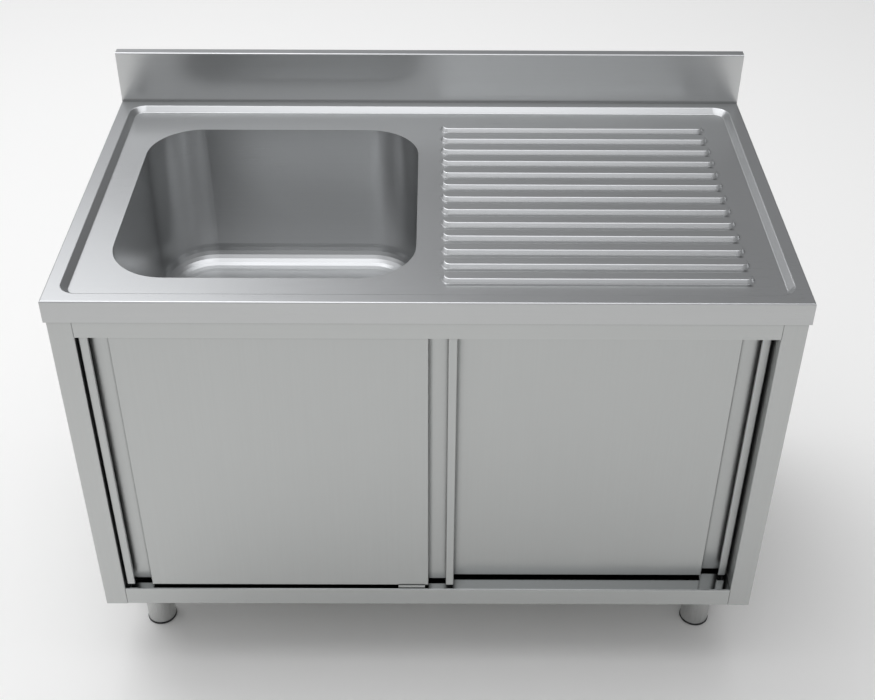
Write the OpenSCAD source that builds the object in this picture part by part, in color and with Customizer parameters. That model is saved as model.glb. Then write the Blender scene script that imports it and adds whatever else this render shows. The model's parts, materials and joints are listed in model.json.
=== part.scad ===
// Stainless steel sink unit: one pressed worktop with a bowl and a ribbed drainer,
// standing on a closed cabinet with two sliding doors and four adjustable legs.
// Origin on the floor under the middle of the unit, front towards -Y, all sizes in mm.

/* [Overall] */
// Overall width, side to side
unit_w = 1200; // [1060:10:1600]
// Overall depth, front edge to the back of the upstand
unit_d = 700; // [650:10:800]
// Height of the worktop rim above the floor
worktop_h = 850; // [800:10:950]

/* [Worktop] */
// Thickness of the worktop sheet
top_t = 1.2; // [0.8:0.1:2]
// Height of the folded apron at the front and sides
apron_h = 40; // [30:1:60]
// Outside radius of the folded worktop edge
edge_r = 2.2; // [2.2:0.1:5]
// Flat rim left around the pressed pan, at the front and sides
rim_w = 23; // [20:1:32]
// Flat rim between the pressed pan and the upstand
back_rim_w = 20.5; // [15:0.5:30]
// How far the pan lies below the rim
pan_drop = 10; // [6:0.5:14]
// Width of the sloping step between the rim and the pan, seen from above
pan_step = 10; // [8:0.5:16]
// Corner radius of the pan, where the step meets the rim
pan_corner_r = 28; // [20:1:36]
// Radius where the step rolls into the rim and the pan
press_r = 3; // [1:0.5:6]

/* [Upstand] */
// Height of the upstand above the worktop
upstand_h = 100; // [60:5:150]
// Thickness of the boxed upstand
upstand_t = 20; // [12:1:30]
// Radius of the fold between the worktop and the upstand
upstand_fold_r = 0.4; // [0.2:0.1:10]
// Depth of the folded edge on the back of the upstand
upstand_hem = 30; // [15:1:50]

/* [Drainer] */
// Pitch of the drainer ribs
rib_pitch = 42.1; // [40:0.1:50]
// Width of the flat top of a rib
rib_top_w = 20; // [14:0.5:22]
// Width of each sloping side of a rib
rib_slope_w = 4; // [3.5:0.5:8.5]
// Height of a rib above the pan
rib_h = 7; // [3:0.5:8]
// Radius where a rib rolls over at its top
rib_r = 2; // [1:0.5:3]
// Radius at the foot of a rib
rib_foot_r = 0.6; // [0.3:0.1:3]
// Front edge of the unit to the middle of the first rib
rib_front_margin = 81.5; // [70:0.5:110]
// Back of the unit to the middle of the last rib
rib_back_margin = 113; // [100:1:150]
// Right end of the unit to the foot of the ribs
rib_end_margin = 79.5; // [60:0.5:120]
// Bowl to the foot of the ribs
bowl_to_ribs = 41; // [30:1:80]
// Width of a stiffener under the drainer
drainer_stiffener_w = 60; // [40:1:90]
// Height of a stiffener under the drainer
drainer_stiffener_h = 25; // [15:1:35]

/* [Bowl] */
// Width of the bowl opening
bowl_w = 500; // [400:10:540]
// Length of the bowl opening, front to back
bowl_l = 500; // [400:10:510]
// Depth of the bowl, worktop pan to bowl floor
bowl_depth = 295; // [200:5:320]
// Radius of the bowl's upright corners
bowl_corner_r = 96; // [60:1:120]
// Radius between the bowl's walls and its floor
bowl_floor_r = 40; // [15:1:55]
// Thickness of the bowl sheet
bowl_t = 1.2; // [0.8:0.1:2]
// Left end of the unit to the bowl
bowl_side_margin = 80; // [70:1:120]
// Front edge of the unit to the bowl
bowl_front_margin = 81.5; // [63:0.5:110]
// Width of the welding flange around the bowl
bowl_flange_w = 10; // [5:0.5:12]

/* [Waste] */
// Radius of the pressed seat for the waste in the bowl floor
waste_seat_r = 48; // [44:1:60]
// Depth of the pressed seat
waste_seat_drop = 6; // [4:0.5:10]
// Width of the flat rim pressed round the seat
seat_rim = 4; // [3:0.5:8]
// Radius of the waste flange
waste_flange_r = 42; // [38:1:43]
// Thickness of the waste flange
waste_flange_t = 2.5; // [2:0.5:4]
// Bevel round the top of the waste flange
waste_flange_bevel = 1.5; // [0.5:0.5:3]
// Outside radius of the threaded waste tail
waste_tail_r = 23.9; // [20:0.1:28]
// Wall of the waste tail
waste_wall = 3; // [2:0.5:5]
// Depth of the plain neck between the thread and the flange
thread_relief = 0.3; // [0.1:0.1:0.8]
// Length of the waste tail below the bowl floor
waste_tail_len = 70; // [45:1:110]
// Thickness of the gasket under the waste flange
waste_gasket_t = 2; // [1:0.5:3]
// How far the gasket stands in from the edge of the flange
gasket_inset = 4; // [1:0.5:8]
// Thickness of the nut that clamps the waste
waste_nut_t = 10; // [6:1:16]
// Reach of the nut's body outside its thread
nut_wall = 9; // [6:0.5:11]
// Reach of the nut's collar outside its thread
nut_collar = 12; // [11:0.5:16]
// Thickness of the nut's collar
nut_collar_h = 2; // [1:0.5:4]
// Thickness of the strainer basket
basket_t = 1; // [0.6:0.1:1.2]
// Depth of the strainer basket
basket_depth = 26; // [15:1:40]
// Radius of the rim of the strainer basket
basket_rim_r = 30; // [25:1:34]
// Width across a hole in the strainer basket
basket_hole_d = 4; // [2:0.5:6]
// Number of holes in the strainer basket
basket_holes = 6; // [3:1:8]
// Middle of the basket to the middle of its holes
basket_hole_ring = 14; // [10:0.5:16]
// Radius of the stem of the basket's knob
knob_stem_r = 2; // [1.5:0.5:4]
// Radius of the basket's knob
knob_r = 5; // [4.5:0.5:8]
// Height of the basket's knob
knob_h = 5; // [3:0.5:8]
// Clear height under the basket's knob
knob_gap = 4; // [2:0.5:8]
// Rubber pad under the bowl floor, side length
pad_w = 260; // [180:5:300]
// Rubber pad under the bowl floor, thickness
pad_t = 3; // [2:0.5:6]

/* [Cabinet] */
// Thickness of the cabinet sheet
sheet_t = 1; // [0.8:0.1:1.5]
// Inside radius of the cabinet's folds
bend_r = 1; // [0.5:0.1:2]
// How far the cabinet stands in from the worktop's side and back edges
body_inset = 4; // [4:0.5:12]
// Height of the cabinet's underside above the floor
base_h = 165; // [120:5:220]
// Width of a front upright
upright_w = 40; // [30:1:50]
// Depth of a front upright
upright_d = 58; // [56:1:80]
// Width of the lip folded behind a front upright
upright_lip = 18; // [10:1:24]
// Width of the flange at the back of a side panel
rear_flange_w = 30; // [20:1:45]
// Width of the flange folded under a side panel
foot_flange_w = 14; // [10:1:15]
// Visible height of the header rail below the apron
header_drop = 30; // [20:1:50]
// Height of the rear leg of the header rail
header_leg = 22; // [12:1:30]
// Height of the rail at the top of the back
rear_rail_h = 50; // [30:1:80]
// Height of the shelf's front edge
shelf_lip_h = 40; // [35:1:60]
// Height of the shelf's upturn along the back
shelf_upturn_h = 20; // [10:1:40]
// Depth of the shelf's flanges along the sides
shelf_flange_h = 22; // [10:1:30]
// How far those flanges reach in under the shelf's edges
shelf_flange_lap = 20; // [10:1:30]
// Width of the hem under the shelf's front edge and the back panel
shelf_hem = 14; // [8:1:20]
// Width of the service opening in the back panel
service_w = 240; // [100:10:300]
// Height of the service opening in the back panel
service_h = 160; // [80:10:220]
// Middle of the service opening above the floor
service_z = 360; // [340:10:420]
// Width of the stiffener under the shelf
shelf_stiffener_w = 80; // [50:1:120]
// Height of the stiffener under the shelf
shelf_stiffener_h = 25; // [15:1:30]
// Width of the flanges by which a stiffener is spot welded
weld_flange_w = 14; // [10:1:20]

/* [Doors] */
// Thickness of a door
door_t = 23; // [20.5:0.5:24]
// Gap between the front door and the rear door
door_gap = 3; // [2.4:0.1:5]
// How far the front door lies behind the front of the uprights
door_setback = 5; // [2.4:0.1:5]
// Gap between the end of a closed door and its upright
door_end_gap = 4; // [2:0.5:8]
// Width over which the closed doors overlap
door_overlap = 94; // [92:1:140]
// Gap between the shelf and the bottom of a door
door_floor_gap = 7.5; // [4:0.5:12]
// Height over which a door runs up behind the header
door_head_lap = 12; // [6:1:14]
// Width of the lip that the fingers pull on
pull_lip = 14.5; // [10:0.5:18]
// Clear width of the finger gap beside the lip
pull_gap = 31.5; // [24:0.5:40]
// Depth of the finger recess
pull_depth = 16.5; // [12:0.5:17]
// Depth of the hem behind the pull lip
pull_hem = 4; // [3:0.5:8]

/* [Door gear] */
// Thickness of the track
track_t = 1.5; // [1:0.1:2]
// Running radius of a roller
roller_r = 9; // [8:0.5:9]
// Width of a roller
roller_w = 8; // [6:0.5:8]
// Height left free over a roller under the track
roller_headroom = 2.5; // [1.5:0.5:2.5]
// Height of the lip that keeps a roller on its runway
runway_lip = 5; // [3:0.5:5]
// End of a door to the middle of its roller
roller_inset = 74; // [70:1:120]
// Thickness of a hanger plate
hanger_t = 2; // [1.5:0.1:2]
// Width of a hanger plate
hanger_w = 36; // [28:1:50]
// Height of a hanger plate above its axle
hanger_rise = 8; // [6:0.5:8]
// Back of a hanger plate to its bolts
hanger_bolt_edge = 7; // [6:0.5:9]
// Radius of a roller axle
axle_r = 2.5; // [2:0.1:2.5]
// Radius of the bolts that hold the hangers to a door
gear_bolt_r = 3; // [2:0.5:3]
// Radius of the track screws
screw_r = 2; // [1.5:0.1:2.2]
// Number of track screws
screw_count = 6; // [3:1:9]
// End of the track to its first screw
screw_margin = 30; // [15:1:60]
// Length of a rubber end stop
stop_len = 14; // [8:1:18]
// Width of the door guide along the shelf
guide_w = 48.5; // [30:0.5:60]
// Distance of the guide's right edge left of the centre line
guide_offset = 5.5; // [0:0.5:12]
// Height of the guide's middle and rear flanges above the shelf
guide_h = 17; // [13:0.5:24]
// Height of the guide's front flange above the shelf
guide_front_h = 7; // [6:0.5:13]

/* [Legs] */
// Outside radius of a leg tube
leg_r = 27; // [20:0.5:30]
// Wall of a leg tube
leg_wall = 1.5; // [1:0.1:3]
// Middle of a leg to the cabinet's side
leg_side_margin = 64; // [54:1:90]
// Middle of a leg to the unit's front and back edges
leg_end_margin = 122; // [80:1:180]
// Side length of the plate on top of a leg
leg_plate_w = 84; // [76:1:90]
// Thickness of the plate on top of a leg
leg_plate_t = 4; // [3:0.5:6]
// Height of the spigot inside the top of a leg
leg_spigot_h = 20; // [10:1:40]
// Thickness of the channel that carries the legs
foot_channel_t = 1.5; // [1:0.1:2]
// Height of the collar under the tube end
plug_collar_h = 2; // [1:0.5:5]
// Height of the plug inside the tube
plug_h = 30; // [15:1:50]
// Radius of a foot disc
foot_r = 28; // [22:0.5:32]
// Thickness of a foot disc
foot_disc_h = 3; // [2:0.5:8]
// Bevel on a foot disc and on the end of its stud
foot_bevel = 1; // [0.5:0.5:1.5]
// Radius of a foot's threaded stud
stud_r = 6; // [4:0.5:8]
// Length that a foot can be screwed out
foot_travel = 50; // [20:1:60]
// Length of stud still held when a foot is screwed right out
stud_hold = 30; // [15:1:40]
// Radius of a leg bolt
leg_bolt_r = 3; // [2:0.5:4]
// Edge of a leg plate to its bolts
leg_bolt_edge = 10.5; // [9:0.5:14]
// Wall of the spigot on a leg plate
spigot_wall = 3; // [2:0.5:5]

/* [Clearances] */
// Gap between a roller and its runway
run_gap = 0.3; // [0.2:0.1:0.6]
// Radial gap between a roller and its axle
axle_gap = 0.2; // [0.1:0.05:0.4]
// Side gap beside a moving roller
side_gap = 1; // [0.6:0.1:1.2]
// Gap between a door and the guide's front and rear flanges
guide_gap = 0.7; // [0.5:0.1:1.2]
// Radial gap around a bolt or stud
bolt_gap = 0.3; // [0.2:0.1:0.6]
// Gap around the strainer basket
basket_gap = 0.4; // [0.3:0.1:1]
// Gap where folded sheets meet inside the cabinet
fit_gap = 0.5; // [0.2:0.1:1]
// Gap between the ends of the track and the uprights
track_end_gap = 1; // [0.5:0.5:3]
// Gap between a roller and its stop when the door is closed
stop_gap = 1; // [0.5:0.5:2]
// Gap over a stop
stop_headroom = 2; // [1:0.5:3]

/* [Hidden] */

// Steps in each quarter bend of a fold, in a press radius, and overshoot of a cut
bend_steps = 4;
press_steps = 3;
over = 2;
$fn = 64;

// Distances that keep one fold or flange clear of the next
edge_gap = 3;
hem_gap = 2;
flange_gap = 4;
panel_gap = 5;
panel_side_gap = 2;
upright_gap = 6;
end_gap = 10;
corner_gap = 20;

// Heads, nuts and ends of the bolts and axles
hex_ratio = 1.9;
gear_hex_ratio = 1.8;
bolt_end = 3;
head_h = 4;
screw_head = 1.5;
screw_edge = 4.5;
axle_step = 1;
axle_play = 0.3;
wheel_offset = 0.5;

// Dished face and bevelled tread of a roller
roller_hub = 2;
roller_rim = 1.5;
roller_dish = 1;
roller_slant = 0.5;
roller_bevel = 0.7;

// Planes of the worktop
half_w = unit_w / 2;
half_d = unit_d / 2;
apron_bottom = worktop_h - apron_h;
pan_z = worktop_h - pan_drop;
pan_under = pan_z - top_t;
rim_under = worktop_h - top_t;
upstand_front = half_d - upstand_t;
upstand_top = worktop_h + upstand_h;
tray_x = half_w - rim_w;
tray_front = -half_d + rim_w;
tray_back = upstand_front - back_rim_w;

// Bowl and drainer places
bowl_x = -half_w + bowl_side_margin + bowl_w / 2;
bowl_y = -half_d + bowl_front_margin + bowl_l / 2;
bowl_floor = pan_z - bowl_depth;
seat_z = bowl_floor - waste_seat_drop;
flange_z = seat_z + waste_flange_t;
nut_under = seat_z - bowl_t - waste_gasket_t - waste_nut_t;
rib_foot_w = rib_top_w + 2 * rib_slope_w;
rib_x0 = bowl_x + bowl_w / 2 + bowl_to_ribs;
rib_x1 = half_w - rib_end_margin;
rib_span = unit_d - rib_front_margin - rib_back_margin;
rib_count = floor(rib_span / rib_pitch + 0.05) + 1;
rib_y0 = -half_d + rib_front_margin;

// Planes of the cabinet
body_x = half_w - body_inset;
body_front = -half_d + top_t;
body_back = half_d - body_inset;
opening_x = body_x - upright_w;
upright_back = body_front + upright_d;
shelf_top = base_h + shelf_lip_h;
shelf_under = shelf_top - sheet_t;
header_bottom = apron_bottom - header_drop;
rear_sheet_y = body_back - 2 * sheet_t;
top_flange_w = rim_w - body_inset - edge_gap;

// Doors
door_w = opening_x - door_end_gap + door_overlap / 2;
door_bottom = shelf_top + door_floor_gap;
door_top = header_bottom + door_head_lap;
door_h = door_top - door_bottom;
front_door_y = body_front + door_setback;
lane_pitch = door_t + door_gap;
front_door_x = -opening_x + door_end_gap;
rear_door_x = opening_x - door_end_gap - door_w;
pull_w = pull_lip + pull_gap;

// Track lanes, measured from the middle of a door's thickness
wheel_y = -wheel_offset;
lip_y = wheel_y - roller_w / 2 - side_gap - track_t;
wall_y = roller_w / 2 + side_gap;
plate_y = lip_y - side_gap - hanger_t;
track_top = pan_under - sheet_t;
runway_z = track_top - track_t - 2 * roller_r - roller_headroom;
roller_z = runway_z + roller_r + run_gap;
track_half = opening_x - track_end_gap;
front_lane = front_door_y + door_t / 2;
header_back = front_lane + lane_pitch + wall_y + track_t + fit_gap + sheet_t;
stop_top = track_top - track_t - stop_headroom;
stop_x = opening_x - door_end_gap - roller_inset + roller_r + stop_gap;
screw_y = front_lane + wall_y + track_t + screw_edge;
screw_x = [for (i = [0:screw_count - 1])
  (2 * i / (screw_count - 1) - 1) * (track_half - screw_margin)];
hanger_bolt_y = door_t / 2 + plate_y + hanger_t + hanger_bolt_edge;
hanger_bolt_x = [for (x = [roller_inset, door_w - roller_inset], side = [-1, 1])
  x + side * hanger_w / 4];

// Legs
leg_x = body_x - leg_side_margin;
leg_y = half_d - leg_end_margin;
leg_top = base_h - leg_plate_t;
leg_bottom = foot_disc_h + plug_collar_h;
leg_places = [for (x = [-leg_x, leg_x], y = [-leg_y, leg_y]) [x, y]];
leg_bolt_reach = leg_plate_w / 2 - leg_bolt_edge;
leg_bolt_places = [for (p = leg_places, x = [-1, 1], y = [-1, 1])
  [p[0] + x * leg_bolt_reach, p[1] + y * leg_bolt_reach]];
foot_channel_w = leg_plate_w + 2 * edge_gap;
stud_top = foot_disc_h + foot_travel + stud_hold;

steel = "#b9bcbc";
dark_steel = "#8f9393";
inner_steel = "#9fa3a4";
black = "#1c1d1f";

// Small helpers on points
function unit(v) = v / norm(v);
function left_of(v) = [-v[1], v[0]];
function turn(a, b, c) = cross(b - a, c - b);
function reversed(p) = [for (i = [len(p) - 1:-1:0]) p[i]];

// Arc that rounds the corner b between a and c
function corner_arc(a, b, c, r, steps) =
  let (
    u = unit(a - b),
    w = unit(c - b),
    half = acos(u * w) / 2,
    centre = b + unit(u + w) * r / sin(half),
    start = b + u * r / tan(half) - centre,
    first = atan2(start[1], start[0]),
    sweep = sign(turn(a, b, c)) * (180 - 2 * half)
  )
  [for (i = [0:steps]) centre + r * [cos(first + sweep * i / steps), sin(first + sweep * i / steps)]];

// A path whose left bends and right bends have their own radius
function rounded(p, left_r, right_r, steps) = [
  for (i = [0:len(p) - 1])
    let (r = i == 0 || i == len(p) - 1 ? 0 : turn(p[i - 1], p[i], p[i + 1]) > 0 ? left_r : right_r)
    each r > 0 ? corner_arc(p[i - 1], p[i], p[i + 1], r, steps) : [p[i]]
];

// The same path moved to its left by t
function beside(p, t) = [
  for (i = [0:len(p) - 1])
    let (
      before = left_of(unit(i == 0 ? p[1] - p[0] : p[i] - p[i - 1])),
      after = left_of(unit(i == len(p) - 1 ? p[i] - p[i - 1] : p[i + 1] - p[i]))
    )
    p[i] + t * (before + after) / (1 + before * after)
];

// Outline of a folded sheet of thickness t that lies to the left of its path
function folded(p, t, r) = concat(
  rounded(p, r + t, r, bend_steps),
  reversed(rounded(beside(p, t), r, r + t, bend_steps))
);

// A profile drawn in Y and Z, drawn out along X from x0 to x1
module along_x(x0, x1) {
  translate([x0, 0, 0])
    rotate([90, 0, 90])
      linear_extrude(x1 - x0) children();
}

// A profile drawn in X and Z, drawn out along Y from y0 to y1
module along_y(y0, y1) {
  translate([0, y1, 0])
    rotate([90, 0, 0])
      linear_extrude(y1 - y0) children();
}

// A profile drawn in X and Y, drawn out along Z from z0 to z1
module along_z(z0, z1) {
  translate([0, 0, z0])
    linear_extrude(z1 - z0) children();
}

module box(low, high) {
  translate(low) cube(high - low);
}

module rod(x, y, z0, z1, r) {
  translate([x, y, z0]) cylinder(h = z1 - z0, r = r);
}

// Hexagonal bolt head or nut, across its flats a little under twice its radius
module hexagon(x, y, z0, z1, r) {
  translate([x, y, z0]) cylinder(h = z1 - z0, r = r, $fn = 6);
}

// A ring drawn from a profile of radius and height, swept round a rounded rectangle:
// quarter turns at the corners and straight runs between them
module swept_round(x0, x1, y0, y1, points) {
  for (c = [[x1, y1, 0], [x0, y1, 90], [x0, y0, 180], [x1, y0, 270]])
    translate([c[0], c[1], 0])
      rotate([0, 0, c[2]])
        rotate_extrude(angle = 90) polygon(points);
  translate([x1, 0, 0]) along_y(y0, y1) polygon(points);
  translate([x0, 0, 0]) mirror([1, 0, 0]) along_y(y0, y1) polygon(points);
  translate([0, y1, 0]) along_x(x0, x1) polygon(points);
  translate([0, y0, 0]) mirror([0, 1, 0]) along_x(x0, x1) polygon(points);
}

// Worktop
// Section of the worktop from the front apron to the back of the upstand
function deck_section(t) = concat(
  [[-half_d + t, apron_bottom - (t > 0 ? over : 0)]],
  corner_arc([-half_d + t, 0], [-half_d + t, worktop_h - t], [0, worktop_h - t],
    edge_r - t, bend_steps),
  corner_arc([0, worktop_h - t], [upstand_front + t, worktop_h - t],
    [upstand_front + t, upstand_top], upstand_fold_r + t, bend_steps),
  corner_arc([upstand_front + t, worktop_h], [upstand_front + t, upstand_top - t],
    [half_d, upstand_top - t], edge_r - t, bend_steps),
  corner_arc([upstand_front, upstand_top - t], [half_d - t, upstand_top - t], [half_d - t, 0],
    edge_r - t, bend_steps),
  t > 0 ? [[half_d - t, upstand_top - upstand_hem], [half_d + over, upstand_top - upstand_hem],
    [half_d + over, apron_bottom - over]] : [[half_d, apron_bottom]]
);

// Strip that rolls over the worktop's side edges
module side_edge_cut(t) {
  r = edge_r - t;
  x = half_w - t;
  z = worktop_h - t;
  roll = corner_arc([x, 0], [x, z], [0, z], r, bend_steps);
  for (side = [0, 1])
    mirror([side, 0, 0])
      along_y(-half_d - over, upstand_front + t)
        polygon(concat([[x + over, z - r]], roll, [[x - r, z + over], [x + over, z + over]]));
}

// Dished pan with rolled edges, as the solid that it takes away
module pan_form(t) {
  r = pan_corner_r;
  foot = pan_corner_r - pan_step;
  slope = atan(pan_drop / pan_step);
  reach = press_r * tan(slope / 2);
  side = concat(
    [[0, pan_z - t]],
    rounded([[0, pan_z - t], [foot, pan_z - t], [r, worktop_h - t], [r + 2 * reach, worktop_h - t]],
      press_r, press_r, press_steps),
    [[r + 2 * reach, worktop_h + over], [0, worktop_h + over]]
  );
  x = tray_x - r;
  swept_round(-x, x, tray_front + r, tray_back - r, side);
  box([-x, tray_front + r, pan_z - t], [x, tray_back - r, worktop_h + over]);
}

// One raised rib with round ends, standing in the pan
module rib(y, t) {
  slope = atan(rib_h / rib_slope_w);
  reach = rib_foot_r * tan(slope / 2);
  top = rib_top_w / 2;
  foot = rib_foot_w / 2;
  low = pan_z - t;
  side = rounded([[0, low + rib_h], [top, low + rib_h], [foot, low], [foot + reach, low]],
    rib_foot_r, rib_r, press_steps);
  flank = concat(side, [[foot + reach, low - over], [0, low - over]]);
  x0 = rib_x0 + foot;
  x1 = rib_x1 - foot;
  translate([x1, y, 0]) rotate([0, 0, -90]) rotate_extrude(angle = 180) polygon(flank);
  translate([x0, y, 0]) rotate([0, 0, 90]) rotate_extrude(angle = 180) polygon(flank);
  translate([0, y, 0]) along_x(x0, x1) polygon(flank);
  translate([0, y, 0]) mirror([0, 1, 0]) along_x(x0, x1) polygon(flank);
}

// The face of the pressing, t below the visible face
module pressing(t) {
  difference() {
    along_x(-half_w + t, half_w - t) polygon(deck_section(t));
    side_edge_cut(t);
    pan_form(t);
  }
  for (i = [0:rib_count - 1]) rib(rib_y0 + i * rib_pitch, t);
}

// Outline of the bowl opening, grown by g
module bowl_outline(g) {
  r = bowl_corner_r + g;
  w = bowl_w / 2 + g;
  l = bowl_l / 2 + g;
  square([2 * w - 2 * r, 2 * l], center = true);
  square([2 * w, 2 * l - 2 * r], center = true);
  for (x = [-w + r, w - r], y = [-l + r, l - r]) translate([x, y]) circle(r);
}

module worktop() {
  color(steel)
    difference() {
      pressing(0);
      pressing(top_t);
      translate([bowl_x, bowl_y, 0]) along_z(pan_under - over, pan_z + over) bowl_outline(0);
    }
}

// Hat section that hangs by its flanges from top_z, with the outside of its crown at crown_z
function hat(x, top_z, crown_z, w, t) =
  let (
    side = w / 2,
    edge = w / 2 + weld_flange_w
  )
  folded([[x + edge, top_z], [x + side, top_z], [x + side, crown_z + t], [x - side, crown_z + t],
    [x - side, top_z], [x - edge, top_z]], t, bend_r);

module drainer_stiffeners() {
  quarter = (rib_x1 - rib_x0) / 4;
  color(inner_steel)
    for (x = [rib_x0 + quarter, rib_x1 - quarter])
      along_y(header_back + end_gap, tray_back - pan_step - end_gap)
        polygon(hat(x, pan_under, pan_under - drainer_stiffener_h, drainer_stiffener_w, sheet_t));
}

// Bowl
module bowl() {
  r = bowl_corner_r;
  edge = r + bowl_flange_w;
  x = bowl_w / 2 - r;
  y = bowl_l / 2 - r;
  face = concat([[0, bowl_floor]],
    corner_arc([0, bowl_floor], [r, bowl_floor], [r, pan_under], bowl_floor_r, 2 * bend_steps),
    [[r, pan_under], [edge, pan_under]]);
  back = concat([[edge, pan_under - bowl_t], [r + bowl_t, pan_under - bowl_t]],
    reversed(corner_arc([0, bowl_floor - bowl_t], [r + bowl_t, bowl_floor - bowl_t],
      [r + bowl_t, pan_under], bowl_floor_r + bowl_t, 2 * bend_steps)),
    [[0, bowl_floor - bowl_t]]);
  seat = folded([[waste_tail_r + bolt_gap, seat_z - bowl_t],
    [waste_seat_r - waste_seat_drop / 2, seat_z - bowl_t],
    [waste_seat_r, bowl_floor - bowl_t],
    [waste_seat_r + seat_rim, bowl_floor - bowl_t]], bowl_t, bend_r);
  color(steel)
    translate([bowl_x, bowl_y, 0]) {
      swept_round(-x, x, -y, y, concat(face, back));
      difference() {
        box([-x, -y, bowl_floor - bowl_t], [x, y, bowl_floor]);
        rod(0, 0, bowl_floor - bowl_t - over, bowl_floor + over, waste_seat_r + seat_rim);
      }
      rotate_extrude() polygon(seat);
    }
}

module bowl_pad() {
  z = bowl_floor - bowl_t;
  color(black)
    translate([bowl_x, bowl_y, 0])
      difference() {
        box([-pad_w / 2, -pad_w / 2, z - pad_t], [pad_w / 2, pad_w / 2, z]);
        rod(0, 0, z - pad_t - over, z + over, waste_seat_r + seat_rim);
      }
}

// Waste
module waste_flange() {
  inner = waste_tail_r - waste_wall;
  low = bowl_floor - waste_tail_len;
  color(steel)
    translate([bowl_x, bowl_y, 0])
      rotate_extrude()
        polygon([[waste_tail_r, low], [waste_tail_r, nut_under], [waste_tail_r - thread_relief, nut_under],
          [waste_tail_r - thread_relief, seat_z], [waste_flange_r, seat_z],
          [waste_flange_r, seat_z + waste_flange_t / 2], [waste_flange_r - waste_flange_bevel, flange_z],
          [basket_rim_r + basket_gap, flange_z], [basket_rim_r + basket_gap, flange_z - basket_t],
          [inner, flange_z - basket_t], [inner, low]]);
}

module waste_gasket() {
  top = seat_z - bowl_t;
  color(black)
    translate([bowl_x, bowl_y, 0])
      difference() {
        rod(0, 0, top - waste_gasket_t, top, waste_flange_r - gasket_inset);
        rod(0, 0, top - waste_gasket_t - over, top + over, waste_tail_r + bolt_gap / 2);
      }
}

module waste_nut() {
  top = seat_z - bowl_t - waste_gasket_t;
  color(black)
    translate([bowl_x, bowl_y, 0])
      difference() {
        union() {
          translate([0, 0, top - waste_nut_t])
            cylinder(h = waste_nut_t, r = waste_tail_r + nut_wall, $fn = 8);
          rod(0, 0, top - nut_collar_h, top, waste_tail_r + nut_collar);
        }
        rod(0, 0, top - waste_nut_t - over, top + over, waste_tail_r + bolt_gap / 2);
      }
}

module strainer_basket() {
  outer = waste_tail_r - waste_wall - basket_gap;
  low = flange_z - basket_depth;
  color(dark_steel)
    translate([bowl_x, bowl_y, 0]) {
      difference() {
        rotate_extrude()
          polygon([[0, low], [outer, low], [outer, flange_z - basket_t],
            [basket_rim_r, flange_z - basket_t], [basket_rim_r, flange_z], [outer - basket_t, flange_z],
            [outer - basket_t, low + basket_t], [0, low + basket_t]]);
        for (i = [1:basket_holes])
          rotate([0, 0, i * 360 / basket_holes])
            rod(basket_hole_ring, 0, low - over, low + basket_t + over, basket_hole_d / 2);
      }
      rod(0, 0, low, flange_z + knob_gap, knob_stem_r);
      rod(0, 0, flange_z + knob_gap, flange_z + knob_gap + knob_h, knob_r);
    }
}

// Cabinet
// Left side panel, with the front upright folded from the same sheet
module side_panel() {
  wrap = [[-body_x + rear_flange_w, body_back], [-body_x, body_back], [-body_x, body_front],
    [-opening_x, body_front], [-opening_x, upright_back], [-opening_x - upright_lip, upright_back]];
  head = [[-body_x, rear_sheet_y], [-body_x, body_front],
    [-opening_x - 2 * bend_r - sheet_t, body_front]];
  color(steel) {
    along_z(base_h, pan_under) polygon(folded(wrap, sheet_t, bend_r));
    along_z(pan_under, rim_under - edge_r) polygon(folded(head, sheet_t, bend_r));
    box([-body_x, upright_back, pan_under], [-body_x + sheet_t, rear_sheet_y, rim_under]);
    box([-body_x, upright_back, rim_under - sheet_t],
      [-body_x + top_flange_w, tray_back - flange_gap, rim_under]);
    box([-body_x, upright_back + upright_gap, base_h],
      [-body_x + foot_flange_w, rear_sheet_y - corner_gap, base_h + sheet_t]);
  }
}

module left_side_panel() {
  side_panel();
}

module right_side_panel() {
  mirror([1, 0, 0]) side_panel();
}

module header_rail() {
  color(steel)
    difference() {
      along_x(-opening_x, opening_x)
        polygon(folded([[header_back, pan_under - header_leg], [header_back, pan_under],
          [body_front, pan_under], [body_front, header_bottom]], sheet_t, bend_r));
      for (x = screw_x) rod(x, screw_y, track_top - over, pan_under + over, screw_r + bolt_gap);
    }
}

module rear_top_rail() {
  x = body_x - sheet_t;
  color(inner_steel)
    along_x(-x, x)
      polygon(folded([[rear_sheet_y, rim_under - rear_rail_h], [rear_sheet_y, rim_under],
        [tray_back + edge_gap, rim_under]], sheet_t, bend_r));
}

module rear_panel() {
  x = body_x - sheet_t - bend_r - panel_side_gap;
  back = rear_sheet_y + sheet_t;
  color(steel)
    difference() {
      along_x(-x, x)
        polygon(folded([[back - shelf_hem, base_h], [back, base_h], [back, rim_under - panel_gap]],
          sheet_t, bend_r));
      along_y(rear_sheet_y - over, back + over)
        translate([bowl_x, service_z]) square([service_w, service_h], center = true);
    }
}

module bottom_shelf() {
  back = rear_sheet_y - sheet_t;
  side = body_x - sheet_t;
  color(steel) {
    along_x(-opening_x, opening_x)
      polygon(folded([[back, shelf_top + shelf_upturn_h], [back, shelf_top],
        [body_front, shelf_top], [body_front, base_h], [body_front + shelf_hem, base_h]],
        sheet_t, bend_r));
    for (m = [0, 1])
      mirror([m, 0, 0])
        along_y(upright_back + fit_gap, back)
          polygon(folded([[side, shelf_top - shelf_flange_h], [side, shelf_top],
            [opening_x - shelf_flange_lap, shelf_top]], sheet_t, bend_r));
  }
}

module shelf_stiffener() {
  color(inner_steel)
    along_y(body_front + shelf_hem + hem_gap, rear_sheet_y - shelf_hem - hem_gap)
      polygon(hat(0, shelf_under, shelf_under - shelf_stiffener_h, shelf_stiffener_w, sheet_t));
}

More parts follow.
